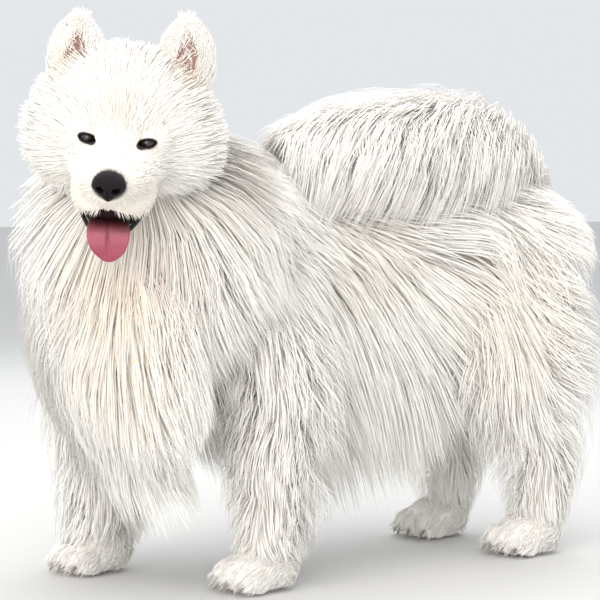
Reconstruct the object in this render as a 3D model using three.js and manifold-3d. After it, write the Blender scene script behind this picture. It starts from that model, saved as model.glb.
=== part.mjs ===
// A standing samoyed, life size: millimetres, +Z up, the dog faces -Y with its left side at +X.
// Its head is turned to its left, its tail is curled over its back, and it stands on four flat soles.
import * as THREE from "three";
import { mergeVertices } from "three/addons/utils/BufferGeometryUtils.js";
import Module from "manifold-3d";

const wasm = await Module();
wasm.setup();

// Driving dimensions
const withersHeight = 540; // back of the trunk's solid over the shoulders
const jointGap = 0.35; // clearance between neighbouring pieces
const headAt = [175, -428, 571]; // midpoint between the eyes
const headYaw = 56; // degrees that the face is turned to the dog's left
const headPitch = 11.5; // degrees that the muzzle dips
const headRoll = 5.5; // degrees that the dog's left eye is lower
const eyeAt = [35, -13, 2]; // the left eyeball's centre in the head
const eyeRadius = 11.5;
const pawHeight = 62; // where each paw is parted from its leg
const backTop = withersHeight - 116; // height of the trunk's axis

const up = new THREE.Vector3(0, 0, 1);
const ahead = new THREE.Vector3(0, -1, 0);

const colours = {
  coat: new THREE.MeshStandardMaterial({ color: 0xece8e2, roughness: 0.85, metalness: 0 }),
  dark: new THREE.MeshStandardMaterial({ color: 0x1b181a, roughness: 0.45, metalness: 0 }),
  eye: new THREE.MeshStandardMaterial({ color: 0x2a1a12, roughness: 0.1, metalness: 0 }),
  tongue: new THREE.MeshStandardMaterial({ color: 0xc2566c, roughness: 0.4, metalness: 0 }),
};

// A form is a closed shape swept along a smooth path. Each station is its centre, the half sizes of the
// solid [to the side, up, down], and how far the coat's tips reach past it [to the side, up, down].
// Its end is blunt, or a single point.
function makeForm(stations, upward, sides, rings, pointed = false) {
  const spline = (key) =>
    new THREE.CatmullRomCurve3(stations.map((station) => new THREE.Vector3(...station[key])));
  const path = spline("at");
  const sizes = spline("size");
  const reaches = spline("reach");
  // A flat lock's sharp edges move out further than its faces as it grows.
  const growth = pointed ? { wide: 10, above: 1.3, below: 2, end: 8 } : { wide: 1, above: 1, below: 1, end: 1 };

  function frameAt(t) {
    const tangent = path.getTangent(t);
    const side = new THREE.Vector3().crossVectors(upward, tangent).normalize();
    return { tangent, side, rise: new THREE.Vector3().crossVectors(tangent, side) };
  }

  // The point at a place along the form (0 to 1, or past its ends) and at an angle round it (0 to the side,
  // 90 up), at a share of the coat's depth (0 is the solid, 1 the tips) plus some millimetres.
  function pointAt(place, degrees, share, extra = 0) {
    const t = THREE.MathUtils.clamp(place, 0, 1);
    const { tangent, side, rise } = frameAt(t);
    const size = sizes.getPoint(t);
    const reach = reaches.getPoint(t);
    const angle = THREE.MathUtils.degToRad(degrees);
    const above = Math.sin(angle) > 0;
    const wide = size.x + share * reach.x + growth.wide * extra;
    const tall = above
      ? size.y + share * reach.y + growth.above * extra
      : size.z + share * reach.z + growth.below * extra;
    return path
      .getPoint(t)
      .addScaledVector(tangent, (place - t) * path.getLength())
      .addScaledVector(side, wide * Math.cos(angle))
      .addScaledVector(rise, tall * Math.sin(angle));
  }

  function geometryAt(share, extra = 0) {
    const points = [];
    const faces = [];
    const ring = (i, j) => i * sides + (j % sides);
    const first = sides === 3 ? 90 : 0;
    const last = pointed ? rings - 2 : rings - 1;
    for (let i = 0; i <= last; i++)
      for (let j = 0; j < sides; j++)
        points.push(pointAt(i / (rings - 1), first + (360 * j) / sides, share, extra));
    for (let i = 0; i < last; i++)
      for (let j = 0; j < sides; j++) {
        faces.push(ring(i, j), ring(i, j + 1), ring(i + 1, j + 1));
        faces.push(ring(i, j), ring(i + 1, j + 1), ring(i + 1, j));
      }
    const tail = points.length;
    for (const t of [0, 1]) {
      const size = sizes.getPoint(t);
      const bulge = (t ? 1 : -1) * (0.35 * Math.min(size.x, size.y) + growth.end * extra);
      points.push(path.getPoint(t).addScaledVector(path.getTangent(t), bulge));
    }
    for (let j = 0; j < sides; j++) {
      faces.push(tail, ring(0, j + 1), ring(0, j));
      faces.push(tail + 1, ring(last, j), ring(last, j + 1));
    }
    return new THREE.BufferGeometry().setFromPoints(points).setIndex(faces);
  }

  return { pointAt, geometryAt };
}

function station(at, size, reach = [0, 0, 0]) {
  return { at, size, reach };
}

// A repeatable stream of random numbers from -1 to 1
let seed = 7;
function jitter() {
  seed = (seed * 16807) % 2147483647;
  return (2 * seed) / 2147483647 - 1;
}

// A flat, tapered lock. It is rooted under the form's surface at t and an angle, lies along the form for
// `run` (a share of its length), turns down round it by `turn` degrees, and sags by `drop` at its tip.
function lockOn(form, t, degrees, { run, turn = 0, drop = 0, width, thick = 9, reach = 1 }) {
  const outward = form.pointAt(t, degrees, 0, 10).sub(form.pointAt(t, degrees, 0)).normalize();
  const down = -Math.cos(THREE.MathUtils.degToRad(degrees)) * turn;
  const along = [
    { s: -0.05, share: 0, extra: -0.9 * thick, wide: 0.75 },
    { s: 0.35, share: 0.7 * reach, extra: 0, wide: 1 },
    { s: 0.7, share: 0.98 * reach, extra: 0, wide: 0.72 },
    { s: 1, share: reach, extra: 0, wide: 0.1 },
  ];
  const stations = along.map(({ s, share, extra, wide }) => {
    const point = form.pointAt(t + s * run, degrees + s * down, share, extra);
    point.z -= s * Math.abs(s) * drop;
    const half = (0.35 + 0.65 * wide) * thick;
    return station(point.toArray(), [wide * width, half, half]);
  });
  return makeForm(stations, outward, 3, 4, true);
}

// Locks in rows along a form, each row staggered against the last
function coatOn(form, rows, [from, to, count], lie) {
  return rows.flatMap((t, row) =>
    Array.from({ length: count }, (_, i) => {
      const place = from + ((to - from) * (i + (row % 2) / 2)) / (count - 0.5);
      return lockOn(form, t + 0.012 * jitter(), place + 3 * jitter(), {
        ...lie,
        width: lie.width * (1 + 0.15 * jitter()),
        run: lie.run * (1 + 0.15 * jitter()),
        turn: (lie.turn ?? 0) + 6 * jitter(),
        drop: (lie.drop ?? 0) + 8 * jitter(),
      });
    }),
  );
}

// Closed geometry to a solid for joining and cutting, and back.
function solidOf(geometry, matrix = new THREE.Matrix4()) {
  const bare = new THREE.BufferGeometry().setAttribute("position", geometry.getAttribute("position"));
  bare.setIndex(geometry.index);
  const merged = mergeVertices(bare.applyMatrix4(matrix), 1e-3);
  return new wasm.Manifold(
    new wasm.Mesh({
      numProp: 3,
      vertProperties: new Float32Array(merged.attributes.position.array),
      triVerts: new Uint32Array(merged.index.array),
    }),
  );
}

function geometryOf(solid) {
  const mesh = solid.getMesh();
  const points = new Float32Array(mesh.numVert * 3);
  for (let i = 0; i < mesh.numVert; i++)
    points.set(mesh.vertProperties.subarray(i * mesh.numProp, i * mesh.numProp + 3), i * 3);
  const geometry = new THREE.BufferGeometry();
  geometry.setAttribute("position", new THREE.BufferAttribute(points, 3));
  geometry.setIndex(new THREE.BufferAttribute(mesh.triVerts, 1));
  return geometry;
}

function join(...solids) {
  return wasm.Manifold.union(solids.flat());
}

// Only a solid's largest closed body is kept.
function largest(solid) {
  return solid.decompose().sort((a, b) => b.volume() - a.volume())[0];
}

function box([x0, x1], [y0, y1], [z0, z1], grow = 0, matrix = new THREE.Matrix4()) {
  const block = new THREE.BoxGeometry(x1 - x0 + 2 * grow, y1 - y0 + 2 * grow, z1 - z0 + 2 * grow);
  block.translate((x0 + x1) / 2, (y0 + y1) / 2, (z0 + z1) / 2);
  return solidOf(block, matrix);
}

// Trunk, from the rump to the breastbone
const trunk = makeForm(
  [
    station([24, 372, 418], [56, 52, 80], [42, 20, 70]),
    station([22, 335, 424], [98, 84, 110], [44, 18, 66]),
    station([14, 240, backTop + 8], [122, 104, 132], [44, 18, 62]),
    station([0, 135, backTop + 6], [118, 100, 180], [44, 16, 108]),
    station([-12, 30, backTop - 2], [122, 108, 188], [44, 16, 120]),
    station([-16, -65, backTop - 10], [126, 120, 186], [44, 16, 102]),
    station([-12, -150, backTop - 14], [128, 130, 176], [46, 20, 70]),
    station([0, -228, 404], [122, 122, 156], [48, 24, 62]),
    station([14, -292, 398], [98, 92, 116], [50, 26, 58]),
    station([24, -336, 396], [52, 48, 62], [44, 26, 50]),
  ],
  up,
  16,
  12,
);

// Neck and mane, from between the shoulders to the back of the skull
const neck = makeForm(
  [
    station([14, -205, 440], [104, 104, 108], [56, 30, 60]),
    station([34, -264, 468], [116, 102, 126], [70, 32, 70]),
    station([60, -320, 500], [118, 94, 124], [74, 32, 68]),
    station([94, -360, 540], [104, 82, 106], [60, 28, 52]),
    station([126, -390, 570], [68, 58, 68], [44, 20, 34]),
  ],
  up,
  16,
  8,
);

// Breast hair hanging from the throat down in front of the forelegs
const bib = makeForm(
  [
    station([82, -374, 468], [84, 36, 50], [54, 22, 10]),
    station([58, -374, 410], [112, 52, 70], [62, 30, 10]),
    station([30, -364, 330], [122, 50, 90], [60, 30, 10]),
    station([6, -346, 252], [108, 40, 84], [58, 28, 16]),
    station([-10, -324, 190], [68, 22, 40], [48, 24, 24]),
  ],
  ahead,
  12,
  7,
);

// Each leg from its root in the trunk down to the pastern
const legStations = {
  front: (side, [x, y], root) => [
    station([root[0], root[1], 380], [56, 64, 70], [14, 8, 16]),
    station([x - side * 10, (y + root[1]) / 2 + 4, 300], [54, 56, 66], [34, 26, 40]),
    station([x, y + 12, 235], [49, 45, 54], [30, 27, 48]),
    station([x, y + 6, 170], [44, 40, 46], [24, 21, 44]),
    station([x, y + 4, 110], [39, 36, 42], [19, 14, 36]),
    station([x, y, 60], [38, 36, 38], [14, 10, 20]),
    station([x, y - 4, 30], [37, 36, 36], [9, 6, 12]),
  ],
  rear: (side, [x, y], root) => [
    station([root[0], root[1], 410], [58, 84, 88], [32, 10, 50]),
    station([x - side * 10, y - 42, 350], [64, 92, 94], [40, 38, 66]),
    station([x, y - 30, 280], [62, 82, 88], [36, 62, 68]),
    station([x, y - 12, 215], [52, 58, 68], [34, 70, 64]),
    station([x, y + 8, 160], [44, 46, 52], [26, 62, 48]),
    station([x, y + 12, 105], [39, 40, 42], [18, 46, 28]),
    station([x, y + 8, 55], [36, 36, 37], [10, 16, 12]),
    station([x, y + 2, 30], [35, 35, 35], [7, 6, 7]),
  ],
};

const pawPlaces = {
  front_left: { kind: "front", side: 1, foot: [108, -178], root: [66, -160] },
  front_right: { kind: "front", side: -1, foot: [-122, -294], root: [-76, -208] },
  rear_left: { kind: "rear", side: 1, foot: [98, 278], root: [66, 236] },
  rear_right: { kind: "rear", side: -1, foot: [-88, 260], root: [-50, 226] },
};

function makeLeg({ kind, side, foot, root }) {
  return makeForm(legStations[kind](side, foot, root), ahead, 12, 9);
}

// A paw: its pad and four furred toes, the middle two further forward
function makePaw({ foot: [x, y] }) {
  const pad = makeForm(
    [
      station([x, y + 38, 28], [24, 28, 30]),
      station([x, y + 16, 32], [40, 34, 36]),
      station([x, y - 14, 30], [44, 31, 34]),
      station([x, y - 34, 25], [40, 26, 29]),
    ],
    up,
    10,
    4,
  );
  const toes = [-1.5, -0.5, 0.5, 1.5].map((place) => {
    const reach = Math.abs(place) < 1 ? 9 : 0;
    const across = x + place * 20.5;
    return makeForm(
      [
        station([across, y - 22, 24], [13, 23, 27]),
        station([across + place, y - 42 - reach, 20], [13.5, 20, 24]),
        station([across + place * 1.5, y - 55 - reach, 14], [10, 13, 15]),
      ],
      up,
      6,
      3,
    );
  });
  return [pad, ...toes];
}

// Tail, from its root up and forward over the back
const tail = makeForm(
  [
    station([18, 286, 462], [32, 32, 28], [14, 14, 6]),
    station([20, 312, 508], [38, 34, 26], [38, 38, 8]),
    station([24, 306, 556], [44, 40, 26], [54, 36, 10]),
    station([30, 258, 586], [50, 44, 36], [64, 34, 24]),
    station([38, 188, 592], [54, 44, 48], [68, 32, 40]),
    station([46, 110, 587], [54, 43, 50], [68, 32, 40]),
    station([54, 35, 577], [50, 40, 44], [64, 32, 36]),
    station([60, -40, 564], [42, 34, 36], [54, 30, 30]),
    station([62, -112, 552], [24, 20, 22], [42, 24, 20]),
  ],
  new THREE.Vector3(0.05, 0.6, 0.8).normalize(),
  14,
  12,
);

// The head is modelled about the midpoint of the eyes, level and facing -Y, and turned into place.
const headMatrix = new THREE.Matrix4().compose(
  new THREE.Vector3(...headAt),
  new THREE.Quaternion().setFromEuler(
    new THREE.Euler(...[headPitch, headRoll, headYaw].map(THREE.MathUtils.degToRad), "ZXY"),
  ),
  new THREE.Vector3(1, 1, 1),
);

const skull = makeForm(
  [
    station([0, 114, -8], [74, 70, 42], [20, 8, 16]),
    station([0, 92, -11], [104, 96, 62], [20, 8, 18]),
    station([0, 56, -16], [110, 124, 64], [18, 9, 16]),
    station([0, 24, -21], [95, 114, 50], [14, 7, 10]),
    station([0, 3, -24], [60, 71, 35], [6, 6, 4]),
    station([0, -15, -27], [47, 45, 35]),
    station([0, -38, -30], [42, 34, 37]),
    station([0, -62, -34], [37, 28, 37]),
    station([0, -80, -37], [31, 22, 32]),
    station([0, -90, -38], [20, 14, 23]),
  ],
  up,
  20,
  15,
);

// The upper lip hangs along the side of the muzzle from under the nose to the corner of the mouth.
function lip(side) {
  return makeForm(
    [
      station([side * 37, -20, -62], [4, 18, 9]),
      station([side * 35, -46, -62], [5, 18, 9]),
      station([side * 25, -70, -62], [5, 14, 8]),
      station([side * 8, -86, -58], [4, 10, 8]),
    ],
    up,
    6,
    5,
  );
}

const jaw = makeForm(
  [
    station([0, 44, -66], [38, 16, 22]),
    station([0, 8, -80], [36, 14, 20]),
    station([0, -22, -90], [31, 11, 16]),
    station([0, -42, -98], [25, 9, 13]),
    station([0, -54, -103], [15, 7, 9]),
  ],
  up,
  12,
  6,
);

const tongue = makeForm(
  [
    station([0, -8, -76], [19, 4, 4]),
    station([0, -36, -83], [21, 4, 4]),
    station([0, -58, -88], [23, 4, 4]),
    station([0, -70, -98], [24, 4, 4]),
    station([0, -74, -114], [22, 4, 4]),
    station([0, -74, -127], [13, 3, 3]),
  ],
  new THREE.Vector3(0, -0.6, 0.8),
  10,
  8,
);

const nose = makeForm(
  [
    station([0, -78, -34], [14, 12, 15]),
    station([0, -88, -36], [18.5, 14.5, 16]),
    station([0, -97, -38], [19, 13.5, 16]),
    station([0, -104, -40], [13, 9, 11]),
  ],
  up,
  12,
  5,
);

// Nostrils open forward and curl out to the sides.
function nostril(side) {
  return makeForm(
    [
      station([side * 7, -90, -38], [2, 2, 2]),
      station([side * 8.5, -100, -39], [3.4, 3.4, 3.6]),
      station([side * 11, -112, -40], [5, 4, 4.4]),
    ],
    up,
    8,
    4,
  );
}

// The ears stand wide and their cups open forward; the right ear is a little lower and further in.
function ear(side) {
  const lift = side > 0 ? 1 : 0.94;
  const wide = side > 0 ? 68 : -60;
  const facing = new THREE.Vector3(side * 0.25, -1, 0).normalize();
  const shell = makeForm(
    [
      station([wide * 0.92, 46, 66], [33, 18, 16]),
      station([wide, 48, 96 * lift], [31, 14, 13]),
      station([wide, 50, 120 * lift], [25, 11, 10]),
      station([wide - side, 51, 136 * lift], [15, 8, 7]),
      station([wide - side * 2, 51, 145 * lift], [7, 5, 4]),
    ],
    facing,
    12,
    6,
  );
  const cup = makeForm(
    [
      station([wide - side, 30, 80 * lift], [13, 8, 7]),
      station([wide + side * 2, 31, 98 * lift], [17, 9, 9]),
      station([wide + side * 2, 35, 117 * lift], [13, 7, 7]),
      station([wide + side, 38, 130 * lift], [6, 4, 4]),
    ],
    facing,
    8,
    5,
  );
  return { shell, cup };
}

// A lid is a ridge over the eyeball from its inner corner to its outer one.
function lid(side, lift, thickness) {
  const corners = 12.5;
  const arc = [-1, -0.5, 0, 0.5, 1].map((share) => {
    const height = lift * (1 - share * share) - 1.5 * share;
    const out = share * corners;
    const front = Math.sqrt(Math.max((eyeRadius + 1.6) ** 2 - out * out - height * height, 4));
    const bulk = Math.abs(share) === 1 ? 0.7 * thickness : thickness;
    const at = [side * (eyeAt[0] + out), eyeAt[1] - front + 0.12 * (out + corners), eyeAt[2] + height];
    return station(at, [bulk, bulk, bulk]);
  });
  return makeForm(arc, up, 5, 5);
}

function eyeball(side, grow = 0) {
  const ball = new THREE.SphereGeometry(eyeRadius + grow, 14, 9);
  ball.translate(side * eyeAt[0], eyeAt[1], eyeAt[2]);
  return solidOf(mergeable(ball), headMatrix);
}

// Sphere and box geometry with only its positions left, so that its seams can merge.
function mergeable(geometry) {
  geometry.deleteAttribute("normal");
  geometry.deleteAttribute("uv");
  return mergeVertices(geometry, 1e-3);
}

// Every node's whole shape, grown by some millimetres where a later node has to clear it
const inHead = (form, grow = 0) => solidOf(form.geometryAt(0, grow), headMatrix);
const inBody = (form, grow = 0) => solidOf(form.geometryAt(0, grow));
const ears = { left: ear(1), right: ear(-1) };
const face = [-1, 1].flatMap((side) => [lid(side, 7.5, 2.6), lid(side, -6, 2.2), lip(side)]);
const cups = [ears.left.cup, ears.right.cup].map((form) => inHead(form));
const below = (height) => box([-900, 900], [-900, 900], [-300, height]);

// The coat of each node, in locks that overlap along its lie
const cheekLocks = [[-52, 38, 3], [232, 142, 3]].flatMap((span) =>
  coatOn(skull, [0.4], span, { run: -0.34, turn: 10, drop: 10, width: 36, thick: 6, reach: 1.3 }),
);
const mane = { run: -0.42, turn: 8, drop: 22, width: 48, thick: 11, reach: 1.12 };
const maneLocks = [
  ...coatOn(neck, [0.96, 0.64, 0.32], [-50, 240, 7], mane),
  ...coatOn(bib, [0.08, 0.4, 0.72], [-15, 195, 4], { run: 0.4, width: 48, thick: 12, reach: 1.15 }),
];
const flank = { run: -0.2, turn: 22, drop: 26, width: 46, thick: 10, reach: 1.05 };
const trunkLocks = [
  ...coatOn(trunk, [0.7, 0.54, 0.38, 0.22], [22, -64, 4], flank),
  ...coatOn(trunk, [0.7, 0.54, 0.38, 0.22], [158, 244, 4], flank),
  ...coatOn(trunk, [0.7], [65, 115, 2], { run: -0.18, width: 46, thick: 7 }),
];
const plume = { run: 0.24, turn: 34, drop: 26, width: 44, thick: 10, reach: 1.15 };
const tailLocks = [
  ...coatOn(tail, [0.26, 0.46, 0.66, 0.86], [62, -35, 3], plume),
  ...coatOn(tail, [0.26, 0.46, 0.66, 0.86], [118, 215, 3], plume),
];
const legLocks = {
  front: (leg) => [
    ...coatOn(leg, [0.3, 0.56], [-30, 220, 3], { run: 0.3, width: 40, thick: 7, reach: 1.1 }),
    ...coatOn(leg, [0.34, 0.6], [255, 285, 2], { run: 0.3, drop: 4, width: 24, thick: 7 }),
  ],
  rear: (leg) => [
    ...coatOn(leg, [0.16, 0.42], [200, 340, 4], { run: 0.32, drop: 4, width: 42, thick: 10 }),
    ...coatOn(leg, [0.34], [50, 130, 2], { run: 0.28, width: 36, thick: 9 }),
  ],
};

// A node gives way to the nodes before it, and its hollows are cut out of it alone.
const nodes = [];
const taken = [];
function addNode(name, material, shape, hollows = []) {
  const whole = [...taken, ...hollows].reduce((left, other) => left.subtract(other), shape(0));
  nodes.push([name, largest(whole), material]);
  taken.push(join(shape(0), shape(jointGap)));
}

for (const [name, side] of [["left", 1], ["right", -1]])
  addNode("eye_" + name, colours.eye, (grow) => eyeball(side, grow));
const nostrils = [1, -1].map((side) => inHead(nostril(side)));
addNode("nose", colours.dark, (grow) => inHead(nose, grow), nostrils);
addNode("tongue", colours.tongue, (grow) => inHead(tongue, grow));
addNode("jaw", colours.coat, (grow) => inHead(jaw, grow));
addNode(
  "head",
  colours.coat,
  (grow) => join([skull, ...face, ...cheekLocks].map((form) => inHead(form, grow))),
  cups,
);
for (const name of ["left", "right"])
  addNode("ear_" + name, colours.coat, (grow) => inHead(ears[name].shell, grow), cups);
addNode("neck", colours.coat, (grow) => join([neck, bib, ...maneLocks].map((form) => inBody(form, grow))));
addNode("torso", colours.coat, (grow) => join([trunk, ...trunkLocks].map((form) => inBody(form, grow))));
addNode("tail", colours.coat, (grow) => join([tail, ...tailLocks].map((form) => inBody(form, grow))));
for (const [name, place] of Object.entries(pawPlaces)) {
  const leg = makeLeg(place);
  const coat = legLocks[place.kind](leg);
  addNode("leg_" + name, colours.coat, (grow) =>
    join([leg, ...coat].map((form) => inBody(form, grow))).subtract(below(pawHeight - grow)),
  );
  addNode(
    "paw_" + name,
    colours.coat,
    (grow) => join([leg, ...makePaw(place)].map((form) => inBody(form, grow))).intersect(below(pawHeight)),
    [below(0)],
  );
}

// The origin is at the centre of the floor under the whole animal.
const samoyed = new THREE.Group();
for (const [name, solid, material] of nodes) {
  const mesh = new THREE.Mesh(geometryOf(solid), material);
  mesh.name = name;
  samoyed.add(mesh);
}
const extent = new THREE.Box3().setFromObject(samoyed);
const middle = extent.getCenter(new THREE.Vector3());
samoyed.position.set(-middle.x, -middle.y, -extent.min.z);

export default samoyed;
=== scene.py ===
# A standing samoyed, life size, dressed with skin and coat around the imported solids.
# Shapes are laid out in millimetres in the dog's own frame, which faces -Y with its left at +X,
# and are then moved to the part's frame.
import math

import bpy
import numpy as np
from mathutils import Matrix, Vector
from mathutils.kdtree import KDTree


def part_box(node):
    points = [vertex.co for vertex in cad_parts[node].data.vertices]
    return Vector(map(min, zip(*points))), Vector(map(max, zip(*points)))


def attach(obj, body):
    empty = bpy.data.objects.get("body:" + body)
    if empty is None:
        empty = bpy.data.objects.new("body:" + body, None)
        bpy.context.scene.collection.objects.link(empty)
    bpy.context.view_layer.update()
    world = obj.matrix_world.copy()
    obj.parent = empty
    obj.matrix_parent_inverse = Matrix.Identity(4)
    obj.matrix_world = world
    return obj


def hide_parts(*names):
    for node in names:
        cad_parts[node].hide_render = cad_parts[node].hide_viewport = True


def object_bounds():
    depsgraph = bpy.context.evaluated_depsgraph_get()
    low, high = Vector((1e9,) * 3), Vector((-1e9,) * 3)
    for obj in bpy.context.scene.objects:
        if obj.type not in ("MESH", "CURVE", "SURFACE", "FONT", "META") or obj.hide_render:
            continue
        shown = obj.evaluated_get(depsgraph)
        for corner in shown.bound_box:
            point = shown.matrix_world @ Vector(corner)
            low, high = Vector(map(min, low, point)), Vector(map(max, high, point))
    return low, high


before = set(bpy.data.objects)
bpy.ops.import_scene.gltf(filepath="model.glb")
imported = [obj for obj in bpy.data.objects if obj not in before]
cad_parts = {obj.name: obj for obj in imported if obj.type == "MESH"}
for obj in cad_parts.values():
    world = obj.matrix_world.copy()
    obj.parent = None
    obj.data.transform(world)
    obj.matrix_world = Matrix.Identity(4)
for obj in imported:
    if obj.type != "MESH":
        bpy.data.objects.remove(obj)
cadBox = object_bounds()
print("frame loaded:", len(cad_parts), "nodes")


# Frames: the head's own, the dog's own, and the part's

headPlan = {
    "at": (175, -428, 571),  # midpoint between the eyes
    "yaw": 56,
    "pitch": 11.5,
    "roll": 5.5,
    "eye": (35, -13, 2),
    "eyeRadius": 11.5,
}


def headTurn():
    yaw = Matrix.Rotation(math.radians(headPlan["yaw"]), 3, "Z")
    pitch = Matrix.Rotation(math.radians(headPlan["pitch"]), 3, "X")
    roll = Matrix.Rotation(math.radians(headPlan["roll"]), 3, "Y")
    return np.array(yaw @ pitch @ roll)


headRotation = headTurn()
headOrigin = np.array(headPlan["at"], float)


def fromHead(points):
    return points @ headRotation.T + headOrigin


def toHead(points):
    return (points - headOrigin) @ headRotation


def findShift():
    low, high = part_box("eye_left")
    centre = np.array((low + high) / 2) * 1000
    return centre - fromHead(np.array([headPlan["eye"]], float))[0]


shift = findShift()


def toPart(points):
    return (points + shift) / 1000


# The coat is kept inside the solids' box grown by 3% of each side and 10 mm, less a little for the strands'
# width
boxSpare = 0.03 * (np.array(cadBox[1]) - np.array(cadBox[0])) + 0.0075
boxLow = np.array(cadBox[0]) - boxSpare
boxHigh = np.array(cadBox[1]) + boxSpare


def insideBox(paths):
    points = toPart(paths)
    return ((points > boxLow) & (points < boxHigh) & (points[..., 2:] > 0.0015)).all(axis=(1, 2))


# Forms: closed shapes swept along a smooth path, as the solids are


def alongSpline(keys, t):
    x = np.clip(t, 0, 1) * (len(keys) - 1)
    i = np.minimum(x.astype(int), len(keys) - 2)
    u = (x - i)[:, None]
    knots = np.vstack([2 * keys[0] - keys[1], keys, 2 * keys[-1] - keys[-2]])
    a, b, c, d = knots[i], knots[i + 1], knots[i + 2], knots[i + 3]
    bend = (2 * a - 5 * b + 4 * c - d) * u**2
    return 0.5 * (2 * b + (c - a) * u + bend + (3 * b - a - 3 * c + d) * u**3)


def unit(vectors):
    return vectors / np.maximum(np.linalg.norm(vectors, axis=-1, keepdims=True), 1e-9)


class Form:
    def __init__(self, name, stations, upward=(0, 0, 1), head=False):
        self.name = name
        self.head = head
        rows = np.array([list(at) + list(size) + list(reach) for at, size, reach in stations], float)
        grid = np.linspace(0, 1, 241)
        path = alongSpline(rows[:, :3], grid)
        tangent = unit(np.gradient(path, axis=0))
        side = unit(np.cross(np.array(upward, float), tangent))
        rise = np.cross(tangent, side)
        self.grid = grid
        self.length = np.linalg.norm(np.diff(path, axis=0), axis=1).sum()
        self.table = np.hstack([path, tangent, side, rise, alongSpline(rows[:, 3:], grid)])

    def rowsAt(self, t):
        t = np.clip(t, 0, 1)
        return np.stack([np.interp(t, self.grid, column) for column in self.table.T], axis=1)

    # place runs 0 to 1 along the form and degrees run round it, with 90 up;
    # share is 0 at the solid's surface and 1 at the coat's tips
    def pointAt(self, place, degrees, share, extra=0.0):
        row = self.rowsAt(place)
        angle = np.radians(degrees)
        share = np.asarray(share)
        wide = row[:, 12] + share * row[:, 15] + extra
        above = row[:, 13] + share * row[:, 16]
        below = row[:, 14] + share * row[:, 17]
        tall = np.where(np.sin(angle) > 0, above, below) + extra
        over = (place - np.clip(place, 0, 1)) * self.length
        return (
            row[:, :3]
            + row[:, 3:6] * over[:, None]
            + row[:, 6:9] * (wide * np.cos(angle))[:, None]
            + row[:, 9:12] * (tall * np.sin(angle))[:, None]
        )

    # how deep a point lies in the form: below 1 is inside the surface at that share
    def depthOf(self, points, share, extra=0.0):
        sample = self.table[::6]
        best = np.full(len(points), 9.0)
        for row in sample:
            away = points - row[:3]
            lengthways = away @ row[3:6]
            x = away @ row[6:9]
            z = away @ row[9:12]
            wide = max(row[12] + share * row[15] + extra, 1)
            tall = np.where(z > 0, row[13] + share * row[16], row[14] + share * row[17]) + extra
            gap = np.abs(lengthways) / (self.length / len(sample))
            level = np.sqrt((x / wide) ** 2 + (z / np.maximum(tall, 1)) ** 2) + np.maximum(gap - 0.8, 0)
            best = np.minimum(best, level)
        return best


# A form without a coat
def plainForm(name, stations, upward=(0, 0, 1), head=True, reach=0):
    return Form(name, [(at, size, [reach] * 3) for at, size in stations], upward, head)


ahead = (0, -1, 0)

trunk = Form(
    "trunk",
    [
        ([24, 398, 408], [14, 12, 18], [12, 8, 16]),
        ([24, 376, 418], [54, 50, 78], [42, 20, 70]),
        ([22, 335, 424], [98, 84, 110], [44, 18, 66]),
        ([14, 240, 432], [122, 104, 132], [44, 18, 62]),
        ([0, 135, 430], [118, 100, 180], [44, 16, 108]),
        ([-12, 30, 422], [122, 108, 188], [44, 16, 120]),
        ([-16, -65, 414], [126, 120, 186], [44, 16, 102]),
        ([-12, -150, 410], [128, 130, 176], [46, 20, 70]),
        ([0, -228, 404], [122, 122, 156], [48, 24, 62]),
        ([14, -292, 398], [98, 92, 116], [50, 26, 58]),
        ([24, -336, 396], [52, 48, 62], [44, 26, 50]),
    ],
)
neck = Form(
    "neck",
    [
        ([14, -205, 440], [104, 104, 108], [56, 30, 60]),
        ([34, -264, 468], [116, 102, 126], [70, 32, 70]),
        ([60, -320, 500], [118, 94, 124], [74, 32, 68]),
        ([94, -360, 540], [104, 82, 106], [60, 28, 52]),
        ([126, -390, 570], [68, 58, 68], [44, 20, 34]),
    ],
)
bib = Form(
    "bib",
    [
        ([82, -374, 468], [84, 36, 50], [54, 22, 10]),
        ([58, -374, 410], [112, 52, 70], [62, 30, 10]),
        ([28, -364, 330], [122, 50, 90], [70, 34, 10]),
        ([2, -346, 252], [110, 40, 84], [76, 34, 16]),
        ([-14, -324, 190], [70, 22, 40], [66, 28, 24]),
    ],
    ahead,
)
tail = Form(
    "tail",
    [
        ([18, 286, 462], [32, 32, 28], [14, 14, 6]),
        ([20, 312, 502], [36, 28, 24], [34, 26, 8]),
        ([24, 304, 542], [42, 30, 26], [46, 26, 10]),
        ([30, 258, 574], [50, 38, 36], [62, 28, 24]),
        ([38, 188, 592], [54, 44, 48], [68, 32, 40]),
        ([46, 110, 587], [54, 43, 50], [68, 32, 40]),
        ([54, 35, 581], [50, 42, 44], [64, 36, 36]),
        ([60, -40, 574], [44, 38, 38], [56, 36, 32]),
        ([62, -112, 570], [28, 26, 24], [46, 32, 24]),
    ],
    (0.05, 0.6, 0.8),
)

feet = {
    "front_left": ("front", 1, (108, -178), (66, -160)),
    "front_right": ("front", -1, (-122, -294), (-76, -208)),
    "rear_left": ("rear", 1, (98, 278), (66, 236)),
    "rear_right": ("rear", -1, (-88, 260), (-50, 226)),
}


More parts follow.
